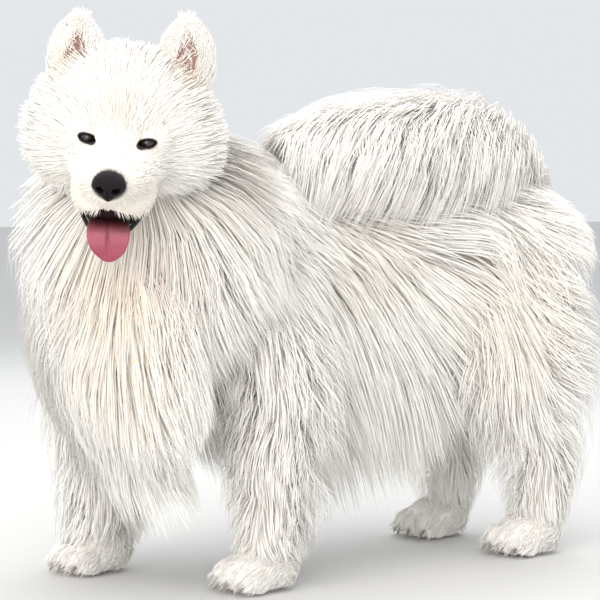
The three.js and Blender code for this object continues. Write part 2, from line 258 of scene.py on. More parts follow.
def legForm(name):
    kind, side, (x, y), root = feet[name]
    if kind == "front":
        stations = [
            ([root[0], root[1], 380], [56, 64, 70], [14, 8, 16]),
            ([x - side * 10, (y + root[1]) / 2 + 4, 300], [54, 56, 66], [44, 34, 46]),
            ([x, y + 12, 235], [49, 45, 54], [40, 36, 56]),
            ([x, y + 6, 170], [44, 40, 46], [34, 28, 56]),
            ([x, y + 4, 110], [39, 36, 42], [28, 20, 50]),
            ([x, y, 60], [38, 36, 38], [20, 14, 30]),
            ([x, y - 2, 30], [37, 36, 36], [12, 8, 18]),
        ]
    else:
        stations = [
            ([root[0], root[1], 410], [58, 84, 88], [32, 10, 50]),
            ([x - side * 10, y - 42, 350], [64, 92, 94], [40, 38, 66]),
            ([x, y - 30, 280], [62, 82, 88], [36, 62, 68]),
            ([x, y - 12, 215], [52, 58, 68], [34, 70, 64]),
            ([x, y + 8, 160], [44, 46, 52], [26, 62, 48]),
            ([x, y + 12, 105], [39, 40, 42], [18, 46, 28]),
            ([x, y + 8, 55], [36, 36, 37], [10, 16, 12]),
            ([x, y + 2, 30], [35, 35, 35], [7, 6, 7]),
        ]
    return Form("leg_" + name, stations, ahead)


legs = {name: legForm(name) for name in feet}

skull = Form(
    "skull",
    [
        ([0, 114, -8], [74, 70, 42], [20, 8, 16]),
        ([0, 92, -11], [104, 96, 62], [20, 8, 18]),
        ([0, 56, -16], [110, 124, 64], [18, 9, 16]),
        ([0, 24, -21], [95, 114, 50], [14, 7, 10]),
        ([0, 3, -24], [64, 71, 36], [8, 8, 6]),
        ([0, -15, -27], [53, 45, 36], [7, 6, 5]),
        ([0, -38, -30], [47, 34, 37], [6, 5, 5]),
        ([0, -62, -34], [41, 28, 37], [5, 4, 5]),
        ([0, -80, -37], [33, 22, 31], [4, 3, 4]),
        ([0, -90, -38], [20, 14, 22], [3, 2, 2]),
    ],
    head=True,
)
jaw = Form(
    "jaw",
    [
        ([0, 44, -66], [38, 16, 22], [8, 3, 10]),
        ([0, 8, -80], [36, 14, 20], [6, 2, 8]),
        ([0, -22, -90], [31, 11, 16], [3, 1, 4]),
        ([0, -42, -98], [25, 9, 13], [2, 1, 3]),
        ([0, -54, -103], [15, 7, 9], [2, 1, 2]),
    ],
    head=True,
)


def lipForm(side):
    stations = [
        ([side * 44, -10, -50], [5, 18, 9]),
        ([side * 40, -36, -60], [6, 20, 10]),
        ([side * 29, -62, -66], [7, 18, 9]),
        ([side * 10, -78, -63], [6, 13, 7]),
    ]
    return plainForm("lip", stations, reach=2)


def earForms(side):
    lift = 1 if side > 0 else 0.94
    wide = 68 if side > 0 else -60
    facing = (side * 0.25, -1, 0)
    shell = Form(
        "ear_left" if side > 0 else "ear_right",
        [
            ([wide * 0.92, 46, 66], [33, 18, 16], [8, 6, 8]),
            ([wide, 48, 96 * lift], [31, 14, 13], [5, 3, 5]),
            ([wide, 50, 120 * lift], [25, 11, 10], [4, 2, 4]),
            ([wide - side, 51, 136 * lift], [15, 8, 7], [3, 2, 3]),
            ([wide - side * 2, 51, 145 * lift], [7, 5, 4], [3, 2, 3]),
        ],
        facing,
        head=True,
    )
    hollow = [
        ([wide - side, 30, 80 * lift], [13, 8, 7]),
        ([wide + side * 2, 31, 98 * lift], [17, 9, 9]),
        ([wide + side * 2, 35, 117 * lift], [13, 7, 7]),
        ([wide + side, 38, 130 * lift], [6, 4, 4]),
    ]
    return shell, plainForm("cup", hollow, facing, reach=1)


ears = {"left": earForms(1), "right": earForms(-1)}


lidPlan = {
    "ball": 13.4,  # radius of the lids' skin
    "corners": 10.8,  # from the pupil out to each corner
    "upper": 5.5,
    "lower": -4.9,
    "tilt": -1.4,
    "mound": 26,
    "moundAt": (36, 6, 0),
}


# A dome that runs forward, with rings at the given angles
def domeForm(name, side, at, size, angles):
    stations = []
    for degrees in angles:
        wide = size * math.cos(math.radians(degrees))
        out = size * math.sin(math.radians(degrees))
        stations.append(([side * at[0], at[1] - out, at[2]], [wide] * 3))
    return plainForm(name, stations, reach=5)


# The ball of lid skin round the eye
def socketForm(side):
    return domeForm("socket", side, headPlan["eye"], lidPlan["ball"], (-20, 0, 20, 40, 60, 76, 86))


# A low mound of brow and cheek that beds the eye
def moundForm(side):
    return domeForm("mound", side, lidPlan["moundAt"], lidPlan["mound"], (-10, 15, 35, 55, 70, 82, 88))


def almond(share):
    return max(1 - share * share, 0.0) ** 0.7


def slitForm(side):
    ex, ey, ez = headPlan["eye"]
    stations = []
    for share in np.linspace(-1, 1, 9):
        opening = max(almond(share), 0.05)
        at = [side * (ex + share * lidPlan["corners"]), ey - 18, ez - lidPlan["tilt"] * share]
        size = [16, lidPlan["upper"] * opening, -lidPlan["lower"] * opening]
        stations.append((at, size))
    return plainForm("slit", stations)


def lidForm(side, lift, thickness):
    ex, ey, ez = headPlan["eye"]
    corners = lidPlan["corners"]
    stations = []
    for share in np.linspace(-1, 1, 9):
        height = lift * almond(share) - lidPlan["tilt"] * share
        out = share * corners
        front = math.sqrt(max((lidPlan["ball"] - 0.2) ** 2 - out * out - height * height, 9))
        bulk = thickness * (0.7 if abs(share) == 1 else 1)
        at = [side * (ex + out), ey - front, ez + height]
        stations.append((at, [bulk] * 3))
    return plainForm("lid", stations)


# Meshes


def newMesh(name, points, quads=(), triangles=(), smooth=True):
    mesh = bpy.data.meshes.new(name)
    quads = np.asarray(quads, np.int64).reshape(-1, 4)
    triangles = np.asarray(triangles, np.int64).reshape(-1, 3)
    mesh.vertices.add(len(points))
    mesh.vertices.foreach_set("co", np.asarray(points, np.float32).ravel())
    loops = np.concatenate([quads.ravel(), triangles.ravel()])
    mesh.loops.add(len(loops))
    mesh.loops.foreach_set("vertex_index", loops.astype(np.int32))
    sizes = np.concatenate([np.full(len(quads), 4), np.full(len(triangles), 3)])
    starts = np.concatenate([[0], np.cumsum(sizes)[:-1]])
    mesh.polygons.add(len(sizes))
    mesh.polygons.foreach_set("loop_start", starts.astype(np.int32))
    mesh.polygons.foreach_set("use_smooth", np.full(len(sizes), smooth))
    mesh.update(calc_edges=True)
    made = bpy.data.objects.new(name, mesh)
    bpy.context.scene.collection.objects.link(made)
    return made


# Faces of a closed tube of rings, whose two end points come last
def tubeFaces(rings, sides):
    i, j = np.meshgrid(np.arange(rings - 1), np.arange(sides), indexing="ij")
    a, b = i * sides + j, i * sides + (j + 1) % sides
    quads = np.stack([a, b, b + sides, a + sides], axis=-1).reshape(-1, 4)
    j = np.arange(sides)
    end, last = rings * sides, (rings - 1) * sides
    opening = np.stack([np.full(sides, end), (j + 1) % sides, j], axis=1)
    closing = np.stack([np.full(sides, end + 1), last + j, last + (j + 1) % sides], axis=1)
    return quads, np.vstack([opening, closing])


def sweep(form, share, extra=0.0, sides=40, rings=48):
    t = np.repeat(np.linspace(0, 1, rings), sides)
    degrees = np.tile(np.arange(sides) * 360 / sides, rings)
    points = form.pointAt(t, degrees, share, extra)
    ends = []
    for place in (0.0, 1.0):
        row = form.rowsAt(np.array([place]))[0]
        bulge = (1 if place else -1) * (0.35 * min(row[12], row[13]) + extra)
        ends.append(row[:3] + row[3:6] * bulge)
    points = np.vstack([points, ends])
    return (fromHead(points) if form.head else points), *tubeFaces(rings, sides)


def joined(name, parts):
    points, quads, triangles, base = [], [], [], 0
    for p, q, t in parts:
        points.append(p)
        quads.append(np.asarray(q) + base)
        triangles.append(np.asarray(t) + base)
        base += len(p)
    return newMesh(name, toPart(np.vstack(points)), np.vstack(quads), np.vstack(triangles))


def applyModifiers(piece):
    graph = bpy.context.evaluated_depsgraph_get()
    mesh = bpy.data.meshes.new_from_object(piece.evaluated_get(graph))
    piece.modifiers.clear()
    piece.data = mesh
    return piece


def combined(piece, other, operation):
    join = piece.modifiers.new("join", "BOOLEAN")
    join.operation = operation
    join.object = other
    join.solver = "MANIFOLD"
    applyModifiers(piece)
    bpy.data.objects.remove(other)


def inHead(points):
    return toPart(fromHead(np.asarray(points, float)))


def placesOf(piece):
    points = np.zeros(len(piece.data.vertices) * 3, np.float32)
    piece.data.vertices.foreach_get("co", points)
    return points.reshape(-1, 3)


def setPlaces(piece, points):
    piece.data.vertices.foreach_set("co", points.astype(np.float32).ravel())
    piece.data.polygons.foreach_set("use_smooth", np.ones(len(piece.data.polygons), bool))
    piece.data.update()


# Vertices in the head's frame, in millimetres
def localPoints(piece):
    return toHead(placesOf(piece) * 1000.0 - shift)


def moveVertices(piece, change):
    setPlaces(piece, inHead(change(localPoints(piece))))


def remeshed(piece, voxel, rounds):
    remesh = piece.modifiers.new("remesh", "REMESH")
    remesh.mode = "VOXEL"
    remesh.voxel_size = voxel
    smooth = piece.modifiers.new("smooth", "SMOOTH")
    smooth.factor = 0.6
    smooth.iterations = rounds
    return applyModifiers(piece)


# Skin: the body's flesh forms fused at a coarse step, the head at a fine one, then both in one surface

skinPlan = {
    "bodyShare": -0.62,
    "bodyStep": 0.0055,
    "headShare": -0.55,
    "headStep": 0.0019,
    "soles": 0.0012,  # the lowest the skin may lie
}


toePlaces = (-1.5, -0.5, 0.5, 1.5)  # in toe widths from the paw's middle


# The two middle toes stand further forward
def toeReach(place):
    return 9 if abs(place) < 1 else 0


def pawForms(name):
    x, y = feet[name][2]
    pad = Form(
        "pad",
        [
            ([x, y + 38, 28], [20, 24, 27], [4, 4, 1]),
            ([x, y + 16, 31], [36, 30, 33], [4, 4, 1]),
            ([x, y - 14, 29], [40, 27, 31], [4, 4, 1]),
            ([x, y - 34, 24], [36, 22, 25], [4, 4, 1]),
        ],
    )
    toes = []
    for place in toePlaces:
        front = y - toeReach(place)
        across = x + place * 19.5
        stations = [
            ([across, y - 22, 23], [11, 20, 24], [3, 3, 1]),
            ([across + place, front - 42, 19], [11.5, 17, 20], [3, 3, 1]),
            ([across + place * 1.5, front - 53, 13], [8.5, 11, 12], [3, 3, 1]),
        ]
        toes.append(Form("toe", stations))
    return pad, toes


paws = {name: pawForms(name) for name in feet}


def makeSkin():
    parts = [sweep(form, skinPlan["bodyShare"]) for form in [trunk, neck, tail, *legs.values()]]
    for pad, toes in paws.values():
        parts += [sweep(form, 0.0, sides=24, rings=16) for form in (pad, *toes)]
    body = remeshed(joined("skin", parts), skinPlan["bodyStep"], 4)
    parts = [sweep(skull, skinPlan["headShare"], sides=72, rings=90), sweep(jaw, 0.0, -1.0)]
    for side in (1, -1):
        parts.append(sweep(lipForm(side), 0.0, sides=24))
        parts.append(sweep(socketForm(side), 0.0, sides=32))
        parts.append(sweep(moundForm(side), 0.0, sides=40))
        parts.append(sweep(ears["left" if side > 0 else "right"][0], 0.0, -1.5))
    head = remeshed(joined("headSkin", parts), skinPlan["headStep"], 2)
    hollows = [sweep(ears[side][1], 0.0, sides=24, rings=20) for side in ears]
    hollows += [sweep(slitForm(side), 0.0, sides=24, rings=20) for side in (1, -1)]
    combined(head, joined("cups", hollows), "DIFFERENCE")
    combined(head, body, "UNION")
    head.name = "skin"
    points = placesOf(head)
    points[:, 2] = np.maximum(points[:, 2], skinPlan["soles"])
    setPlaces(head, points)
    return head


skin = makeSkin()
print("skin:", len(skin.data.polygons), "faces")


# Coat: every lock or hair is a closed, three-sided taper that leaves the skin and lies back along its form

random = np.random.default_rng(11)


def smoothNoise(points, wave, salt):
    stream = np.random.default_rng(salt)
    total = np.zeros(len(points))
    for k in range(6):
        direction = unit(stream.normal(size=3))
        step = 2 * math.pi / (wave * stream.uniform(0.7, 1.5))
        total += np.sin(points @ direction * step + stream.uniform(0, 6.3))
    return total / 2.4


growthPlan = {
    "even": 2.2,  # evens out the roots between wide and narrow places
    "length": (0.72, 1.12),
    "width": (0.7, 1.35),
    "tipBias": 0.7,
    "lift": 1.9,  # how soon a hair leaves the skin
    "droop": 1.6,
    "middle": 0.3,  # share of the reach at which the surface is measured
}


# A plan gives the count, the roots and tips as shares of the reach, the lie in millimetres along,
# round and down, and how the hairs vary, clump and keep clear of other forms
def growStrands(form, plan, flesh, blockers):
    wanted = plan["count"]
    tried = int(wanted * plan.get("spare", 2.2))
    span = plan.get("span", (0.0, 1.0))
    t = random.uniform(span[0], span[1], tried * 3)
    degrees = random.uniform(0, 360, tried * 3)
    middle = growthPlan["middle"]
    here = form.pointAt(t, degrees, middle)
    along = form.pointAt(t + 0.004, degrees, middle) - here
    around = form.pointAt(t, degrees + 1.5, middle) - here
    area = np.linalg.norm(np.cross(along, around), axis=1)
    kept = random.random(len(t)) < np.minimum(area / (np.mean(area) * growthPlan["even"]), 1)
    t, degrees = t[kept][:tried], degrees[kept][:tried]
    rings = np.array(plan["rings"])
    n = len(t)
    roots = form.pointAt(t, degrees, plan["root"])
    surface = form.pointAt(t, degrees, middle)
    outward = unit(form.pointAt(t, degrees, 1.0, 20.0) - roots)
    world = fromHead(surface) if form.head else surface
    back, turning, drop = plan["lie"](t, degrees, world)
    size = plan["size"](t, degrees, world) if "size" in plan else np.ones(n)
    swirl = np.radians(plan.get("swirl", 18)) * smoothNoise(world, plan.get("wave", 120), 5)
    sine, cosine = np.sin(swirl), np.cos(swirl)
    back, turning = back * cosine - turning * sine, back * sine + turning * cosine
    low, high = plan["tips"]
    tips = low + (high - low) * random.random(n) ** growthPlan["tipBias"]
    stretch = random.uniform(*growthPlan["length"], n) * size
    radius = np.linalg.norm(surface - form.rowsAt(t)[:, :3], axis=1)
    paths = np.zeros((n, len(rings), 3))
    wild = random.normal(size=(n, 3)) * plan["wild"]
    for k, s in enumerate(rings):
        lift = 1 - (1 - s) ** growthPlan["lift"]
        share = plan["root"] + (tips * size + (1 - size) * 0.1 - plan["root"]) * lift
        place = t + stretch * back * s / form.length
        turned = degrees + np.degrees(stretch * turning * s / np.maximum(radius, 8))
        point = form.pointAt(place, turned, share)
        point = fromHead(point) if form.head else point
        point = point + wild * s**2 * size[:, None]
        point[:, 2] -= stretch * drop * s ** growthPlan["droop"]
        paths[:, k] = point
    out = outward @ headRotation.T if form.head else outward
    good = insideBox(paths)
    base = fromHead(roots) if form.head else roots
    halfway = paths[:, len(rings) // 2]
    for other, share in blockers:
        first, second = (toHead(base), toHead(halfway)) if other.head else (base, halfway)
        good &= other.depthOf(first, flesh) > 0.97
        good &= other.depthOf(second, share) > 0.95
    if plan.get("clear"):
        good &= plan["clear"](world, paths)
    kept = np.flatnonzero(good)[:wanted]
    paths, t, degrees, out, size = paths[kept], t[kept], degrees[kept], out[kept], size[kept]
    paths = clumped(paths, rings, plan)
    width = plan["width"] * random.uniform(*growthPlan["width"], len(kept)) * (0.45 + 0.55 * size)
    return {
        "paths": paths,
        "out": out,
        "width": width,
        "flat": plan["flat"],
        "root": np.stack([(degrees / 360) % 1, t], axis=1),
    }


def clumped(paths, rings, plan):
    for spacing, pull in plan.get("clumps", ()):
        n = len(paths)
        count = max(int(n / spacing), 4)
        anchors = paths[:, min(2, len(rings) - 1)]
        tree = KDTree(count)
        for i in range(count):
            tree.insert(anchors[i], i)
        tree.balance()
        nearest = np.array([tree.find(point)[1] for point in anchors])
        gap = np.linalg.norm(anchors - anchors[nearest], axis=1)
        grip = pull * random.uniform(0.45, 1.15, count)[nearest]
        grip *= np.clip(1.4 - gap / plan.get("clumpReach", 40), 0, 1)
        guide = paths[nearest].copy()
        for k, s in enumerate(rings):
            share = np.clip(grip * s**1.3, 0, 0.92)[:, None]
            paths[:, k] = paths[:, k] * (1 - share) + guide[:, k] * share
    return paths


# The coat's UV sheet: tiles to a side, each tile's margin, and a hair's own patch
sheetPlan = {"tiles": 5, "margin": 0.03, "inner": 0.94, "wide": 0.0012, "long": 0.0028}


def strandPiece(name, strands, tile):
    paths = np.concatenate([s["paths"] for s in strands])
    out = np.concatenate([s["out"] for s in strands])
    width = np.concatenate([s["width"] for s in strands])
    flat = np.concatenate([np.full(len(s["width"]), s["flat"]) for s in strands])
    root = np.concatenate([s["root"] for s in strands])
    n, k = paths.shape[:2]
    tangent = unit(np.gradient(paths, axis=1))
    lengthwise = unit(paths[:, -1] - paths[:, 0])
    aside = np.cross(lengthwise, out)
    steep = np.linalg.norm(aside, axis=1) < 0.25
    aside[steep] = np.cross(lengthwise[steep], np.roll(lengthwise[steep], 1, axis=1) + 0.3)
    side = unit(aside)[:, None, :]
    side = unit(side - tangent * np.sum(side * tangent, axis=2, keepdims=True))
    rise = np.cross(side, tangent)
    taper = np.interp(np.linspace(0, 1, k), [0, 0.35, 0.75, 1], [0.85, 1, 0.72, 0])
    half = (width[:, None] * taper[None, :] / 2)[..., None]
    high = half * flat[:, None, None] * 2
    under = rise * high * 0.33
    corners = [paths - side * half - under, paths + side * half - under, paths + rise * high * 0.67]
    rings = np.stack([c[:, : k - 1] for c in corners], axis=2).reshape(n, (k - 1) * 3, 3)
    points = np.concatenate([rings, paths[:, k - 1 : k]], axis=1)
    per = points.shape[1]
    quads = []
    for r in range(k - 2):
        for j in range(3):
            a, b = r * 3 + j, r * 3 + (j + 1) % 3
            quads.append([a, b, b + 3, a + 3])
    last = (k - 2) * 3
    triangles = [[last + j, last + (j + 1) % 3, per - 1] for j in range(3)] + [[2, 1, 0]]
    base = (np.arange(n) * per)[:, None, None]
    quads = (np.array(quads)[None] + base).reshape(-1, 4)
    triangles = (np.array(triangles)[None] + base).reshape(-1, 3)
    piece = newMesh(name, toPart(points.reshape(-1, 3)), quads, triangles, smooth=False)
    along = np.concatenate([np.repeat(np.linspace(0, 1, k)[: k - 1], 3), [1.0]])
    tone = np.random.default_rng(len(name) + n).random(n)
    addValues(piece, "along", np.tile(along, n))
    addValues(piece, "tone", np.repeat(tone, per))
    tiles, margin, inner = sheetPlan["tiles"], sheetPlan["margin"], sheetPlan["inner"]
    column, row = tile % tiles, tile // tiles
    degrees, place = np.repeat(root[:, 0], per), np.clip(np.repeat(root[:, 1], per), 0, 1)
    across = np.tile(np.concatenate([np.tile([-1.0, 1.0, 0.0], k - 1), [0.0]]), n)
    u = (column + margin + inner * degrees) / tiles + across * sheetPlan["wide"]
    v = (row + margin + inner * place) / tiles + np.tile(along, n) * sheetPlan["long"]
    loops = np.zeros(len(piece.data.loops), np.int32)
    piece.data.loops.foreach_get("vertex_index", loops)
    layer = piece.data.uv_layers.new(name="OFBake")
    layer.uv.foreach_set("vector", np.stack([u, v], axis=1)[loops].astype(np.float32).ravel())
    return piece


def addValues(piece, name, values):
    attribute = piece.data.attributes.new(name, "FLOAT", "POINT")
    attribute.data.foreach_set("value", values.astype(np.float32))


def ease(value, low, high):
    x = np.clip((value - low) / (high - low), 0, 1)
    return x * x * (3 - 2 * x)


def sideways(degrees):
    return np.cos(np.radians(degrees))


def upwards(degrees):
    return np.sin(np.radians(degrees))


shortRings = [0, 0.5, 1.0]


def trunkLie(t, degrees, world):
    down = -sideways(degrees)  # turning this way goes down the side
    low = ease(-upwards(degrees), -0.2, 0.8)
    return -62 + 30 * low, down * (16 + 26 * np.abs(sideways(degrees))), 10 + 46 * low


def neckLie(t, degrees, world):
    return -96 + 0 * t, -sideways(degrees) * 16, 22 + 20 * ease(-upwards(degrees), -0.4, 0.6)


# The same lie all over a form
def steadyLie(along, down):
    return lambda t, degrees, world: (along + 0 * t, 0 * t, down + 0 * t)


def tailLie(t, degrees, world):
    flank = np.abs(sideways(degrees))
    end = ease(t, 0.75, 1.0)
    fall = np.sign(sideways(degrees)) * np.sqrt(flank)
    return (96 - 44 * flank + 16 * t) * (1 - 0.35 * end), -fall * 46, 8 + 56 * np.sqrt(flank) + 34 * end


def tailSize(t, degrees, world):
    return (0.45 + 0.55 * ease(t, 0.2, 0.45)) * (1 - 0.25 * ease(t, 0.85, 1.0))


def legLie(t, degrees, world):
    behind = ease(-upwards(degrees), 0.0, 0.8)
    long = (60 + 20 * behind * (1 - t)) * (1 - 0.35 * ease(t, 0.7, 1.0))
    return long, -sideways(degrees) * 16 * behind, 4 + 14 * behind * (1 - t)


def thighLie(t, degrees, world):
    behind = ease(-upwards(degrees), -0.2, 0.8)
    long = (66 + 10 * behind * (1 - t)) * (1 - 0.4 * ease(t, 0.7, 1.0))
    return long, -sideways(degrees) * (30 * (1 - t) + 4), 6 + 14 * behind * (1 - t)


def legSize(t, degrees, world):
    return 1 - 0.4 * ease(t, 0.6, 0.95)


# The far front leg's feathering stands out forwards
def farLegSize(t, degrees, world):
    return (1 - 0.35 * ease(t, 0.75, 1.0)) * (1 + 0.55 * ease(sideways(degrees - 124), 0, 1))


coats = {
    trunk: {"count": 17000, "lie": trunkLie, "root": -0.62, "tips": (0.1, 1.15), "swirl": 24, "wave": 170},
    neck: {"count": 10000, "lie": neckLie, "root": -0.62, "tips": (0.2, 1.25), "swirl": 10},
    bib: {"count": 8000, "lie": steadyLie(92, 4), "root": -0.5, "tips": (0.2, 1.3), "swirl": 12},
    tail: {"count": 9500, "lie": tailLie, "root": -0.55, "tips": (0.25, 1.3), "swirl": 12, "size": tailSize},
}
for name, leg in legs.items():
    front = feet[name][0] == "front"
    coats[leg] = {
        "count": 3900,
        "lie": legLie if front else thighLie,
        "size": farLegSize if name == "front_right" else legSize,
        "root": -0.5,
        "tips": (0.05, 1.3 if front else 1.15),
        "swirl": 12,
    }

hairPlan = {
    "rings": [0, 0.3, 0.64, 1.0],
    "width": 1.35,
    "flat": 0.22,
    "clumps": ((8, 0.3), (60, 0.3)),  # how many hairs share a guide, and how strongly
    "spare": 2.6,
    "wild": 3.0,
}
shareOfHairs = 1.0


def faceLie(t, degrees, world):
    local = toHead(world)
    long = np.interp(t, [0, 0.2, 0.33, 0.42, 0.5, 0.62, 1], [42, 36, 23, 13, 8, 6, 3.5])
    low = ease(-upwards(degrees), -0.3, 0.5) * ease(-t, -0.45, -0.25)
    long = long * (1 + 0.7 * low) * (1 - 0.45 * ease(upwards(degrees), 0.3, 0.95))
    outwards = np.sign(local[:, 0]) * ease(np.abs(local[:, 0]), 2, 40) * long * 0.35
    turn = -sideways(degrees) * long * 0.25 * low
    return -long * 0.92, turn - outwards * 0.3 * upwards(degrees), long * (0.06 + 0.3 * low)


def eyeGap(local):
    gap = np.full(len(local), 9.0)
    for side in (1, -1):
        out = side * local[:, 0] - headPlan["eye"][0]
        x = out / (lidPlan["corners"] + 1.0)
        z = (local[:, 2] - headPlan["eye"][2] + lidPlan["tilt"] * x - 0.3) / 6.6
        gap = np.minimum(gap, np.where(local[:, 1] < 12, np.hypot(x, z), 9))
    return gap


def noseGap(local):
    return np.where(local[:, 1] < -72, np.hypot(local[:, 0] / 18.5, (local[:, 2] + 37) / 16), 9)


def clearOfFace(world, paths):
    good = np.ones(len(world), bool)
    for k in range(paths.shape[1]):
        local = toHead(paths[:, k])
        good &= (eyeGap(local) > 1.0) & (noseGap(local) > 0.98)
        x, y, z = local.T
        good &= ~((z < -77) & (y < 2) & (y > -72) & (np.abs(x) < 30))
    for side in ("left", "right"):
        cup = ears[side][1]
        good &= cup.depthOf(toHead(paths[:, -1]), 0.0) > 1.0
    return good


def faceSize(t, degrees, world):
    local = toHead(world)
    near = np.minimum(eyeGap(local) - 0.9, noseGap(local) - 0.7)
    return np.clip(0.35 + 0.75 * near, 0.35, 1.0)


def earLie(t, degrees, world):
    return 9 + 5 * (1 - t), 0 * t, 0 * t


def jawLie(t, degrees, world):
    return -(8 + 16 * (1 - t)), 0 * t, 2 + 6 * (1 - t)


def lidSize(t, degrees, world):
    return np.clip(0.5 + 0.6 * (eyeGap(toHead(world)) - 1), 0.5, 1.0)


# Hairs that cross the hollow of the ear from its inner edge
def cupLie(t, degrees, world):
    return 10 + 0 * t, 6 * np.sign(sideways(degrees)), 0 * t


headHairs = {
    "rings": shortRings,
    "lie": faceLie,
    "size": faceSize,
    "clear": clearOfFace,
    "root": -0.5,
    "tips": (0.2, 1.1),
    "swirl": 8,
    "wave": 60,
    "spare": 2.4,
    "flat": 0.6,
}
faceHairs = {
    "count": 13500,
    "span": (0.36, 1.0),
    "width": 0.9,
    "clumps": ((7, 0.3),),
    "clumpReach": 9,
    "wild": 0.9,
    "tips": (0.1, 0.9),
    "flat": 0.4,
}
crownHairs = {
    "count": 10300,
    "span": (0.0, 0.42),
    "rings": [0, 0.4, 0.75, 1.0],
    "width": 1.15,
    "clumps": ((8, 0.3), (40, 0.2)),
    "wild": 2.2,
}
lidHairs = {
    "count": 900,
    "lie": steadyLie(-9, 1),
    "size": lidSize,
    "width": 0.8,
    "root": -0.15,
    "tips": (0.2, 0.7),
    "wild": 0.5,
}
moundHairs = {**lidHairs, "count": 1500, "width": 0.9, "tips": (0.2, 1.0)}
jawHairs = {"count": 1000, "lie": jawLie, "width": 1.0, "root": -0.2, "wild": 1.5}
lipHairs = {"count": 900, "lie": steadyLie(-4, 5.5), "width": 0.65, "root": 0.0, "tips": (0.3, 1.6), "wild": 0.4}
earHairs = {"count": 3200, "lie": earLie, "width": 0.85, "root": -0.3, "tips": (0.3, 1.7), "wild": 1.3}
cupHairs = {"count": 170, "lie": cupLie, "width": 0.7, "root": -0.9, "tips": (1.0, 5.0), "wild": 1.5}
cupHairs["clear"] = None  # they may cross the hollow

headCoats = [
    (skull, faceHairs),
    (skull, crownHairs),
    (socketForm(1), lidHairs),
    (socketForm(-1), lidHairs),
    (moundForm(1), moundHairs),
    (moundForm(-1), moundHairs),
    (jaw, jawHairs),
    (lipForm(1), lipHairs),
    (lipForm(-1), lipHairs),
    (ears["left"][0], earHairs),
    (ears["right"][0], earHairs),
    (ears["left"][1], cupHairs),
    (ears["right"][1], cupHairs),
]


pawHairs = {
    "pad": 1150,  # how many on the pad and on each toe
    "toe": 340,
    "rings": shortRings,
    "lie": steadyLie(13, 5),
    "root": -0.2,
    "tips": (0.3, 1.8),
    "swirl": 6,
    "wave": 60,
    "width": 1.1,
    "spare": 3.0,
    "flat": 0.6,
    "clumps": ((6, 0.3),),
    "wild": 1.2,
}


def makeCoats():
    fleshForms = [trunk, neck, tail, *legs.values(), skull]
    made = []
    for tile, (form, plan) in enumerate(coats.items()):
        plan = {**hairPlan, **plan, "count": int(plan["count"] * shareOfHairs)}
        others = [other for other in fleshForms if other is not form and (form, other) != (bib, neck)]
        blockers = [(other, 0.0) for other in others]
        strands = growStrands(form, plan, -0.62, blockers)
        made += splitPieces("coat_" + form.name, strands, tile)
        print("coat of the", form.name, len(strands["width"]), "locks")
    return made


def makeHeadCoats():
    made = []
    for number, (form, plan) in enumerate(headCoats):
        plan = {**headHairs, **plan, "count": int(plan["count"] * max(shareOfHairs, 0.6))}
        bedded = form.name in ("lip", "socket", "mound", "cup")
        blockers = [] if bedded else [(other, -0.3) for other in (skull, jaw) if other is not form]
        strands = growStrands(form, plan, -0.6, blockers)
        made += splitPieces(f"coat_{form.name}_{number}", strands, 8 + number)
        print("coat of the", form.name, len(strands["width"]), "hairs")
    return made


def makePawCoats():
    made = []
    for number, (name, (pad, toes)) in enumerate(paws.items()):
        strands = []
        for form in (pad, *toes):
            plan = {**pawHairs, "count": int(pawHairs[form.name] * max(shareOfHairs, 0.6))}
            others = [(other, 0.0) for other in (pad, *toes) if other is not form]
            strands.append(growStrands(form, plan, -0.2, others))
        made.append(strandPiece("coat_paw_" + name, strands, 21 + number))
    print("coats of the paws:", len(made))
    return made


mostTriangles = 190000  # in one piece of the coat


def splitPieces(name, strands, tile):
    n, k = strands["paths"].shape[:2]
    most = int(mostTriangles / ((k - 2) * 6 + 4))
    parts = max(math.ceil(n / most), 1)
    order = np.argsort(strands["root"][:, 0], kind="stable")
    pieces = []
    for i, chosen in enumerate(np.array_split(order, parts)):
        chunk = dict(strands)
        for key in ("paths", "out", "width", "root"):
            chunk[key] = strands[key][chosen]
        number = f"_{i + 1}" if parts > 1 else ""
        pieces.append(strandPiece(name + number, [chunk], tile))
    return pieces


coatPieces = makeCoats() + makeHeadCoats() + makePawCoats()


# Eyes, lids' rims, nose, tongue, mouth and claws

eyePlan = {"cornea": 1.1, "corneaWide": 0.62}


def makeEye(side):
    ex, ey, ez = headPlan["eye"]
    radius = headPlan["eyeRadius"]
    rings, sides = 40, 48
    polar = np.repeat(np.linspace(0, math.pi, rings + 1)[1:-1], sides)
    turning = np.tile(np.arange(sides) * 2 * math.pi / sides, rings - 1)
    polar = np.concatenate([polar, [0, math.pi]])
    turning = np.concatenate([turning, [0, 0]])
    bulge = eyePlan["cornea"] * ease(-polar, -eyePlan["corneaWide"], 0)
    ball = np.stack([np.sin(polar) * np.cos(turning), -np.cos(polar), np.sin(polar) * np.sin(turning)], axis=1)
    ball = ball * (radius + bulge)[:, None]
    quads, caps = tubeFaces(rings - 1, sides)
    name = "eye_left_ball" if side > 0 else "eye_right_ball"
    eye = newMesh(name, inHead(ball + [side * ex, ey, ez]), quads[:, ::-1], caps[:, ::-1])
    addValues(eye, "fromPupil", polar)
    return eye


def makeRims():
    parts = []
    for side in (1, -1):
        for lift, bulk in ((lidPlan["upper"], 1.3), (lidPlan["lower"], 1.0)):
            parts.append(sweep(lidForm(side, lift, bulk), 0.0, sides=14, rings=40))
    return joined("eyelid_rims", parts)


nosePlan = {"step": 0.0009, "point": 2.5, "crease": 1.6}


